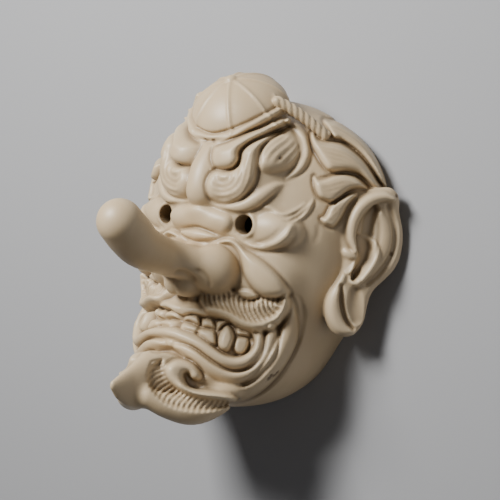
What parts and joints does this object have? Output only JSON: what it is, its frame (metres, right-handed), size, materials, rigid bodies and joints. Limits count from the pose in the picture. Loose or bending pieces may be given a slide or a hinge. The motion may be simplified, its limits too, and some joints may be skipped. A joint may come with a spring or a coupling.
{
  "type": "tengu mask",
  "caption": "Long-nosed tengu mask carved in one piece of pale wood, with a hollow back, bored pupils, cap, ears, moustache and beard.",
  "frame": {"origin": "centre of the bounding box's underside, on the plane of the rim that the mask lies on", "axes": "+X towards the wearer's left, +Y from the chin to the cap, +Z out of the face along the nose"},
  "size_m": [0.2228, 0.2412, 0.1829],
  "materials": {
    "pale_carved_wood": "pale bare wood, sanded smooth, with a soft satin sheen"
  },
  "bodies": {
    "root": {"tengu_mask": "pale_carved_wood"}
  },
  "joints": []
}
